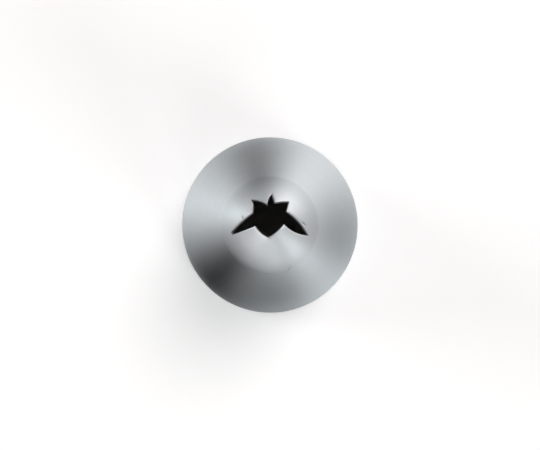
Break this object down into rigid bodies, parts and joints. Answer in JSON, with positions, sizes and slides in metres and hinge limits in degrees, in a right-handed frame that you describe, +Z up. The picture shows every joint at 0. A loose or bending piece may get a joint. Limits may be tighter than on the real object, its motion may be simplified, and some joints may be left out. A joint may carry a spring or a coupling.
{
  "type": "piping nozzle",
  "caption": "Small conical steel piping nozzle with a rounded nose, cut with a star mouth that has two long swept wings, and a welded side seam.",
  "frame": {"origin": "centre of the wide rim that the nozzle stands on", "axes": "+Z up the nozzle's axis to the mouth, +Y to the mouth's narrow spike, +X to its right wing seen from the tip"},
  "size_m": [0.018, 0.018, 0.0309],
  "materials": {
    "nozzle_shell": "satin stainless steel, spun-polished round the axis outside, duller inside",
    "seam_weld": "ground flush and polished outside, left as welded inside"
  },
  "bodies": {
    "root": {"nozzle_shell": "nozzle_shell", "seam_weld": "seam_weld"}
  },
  "joints": []
}
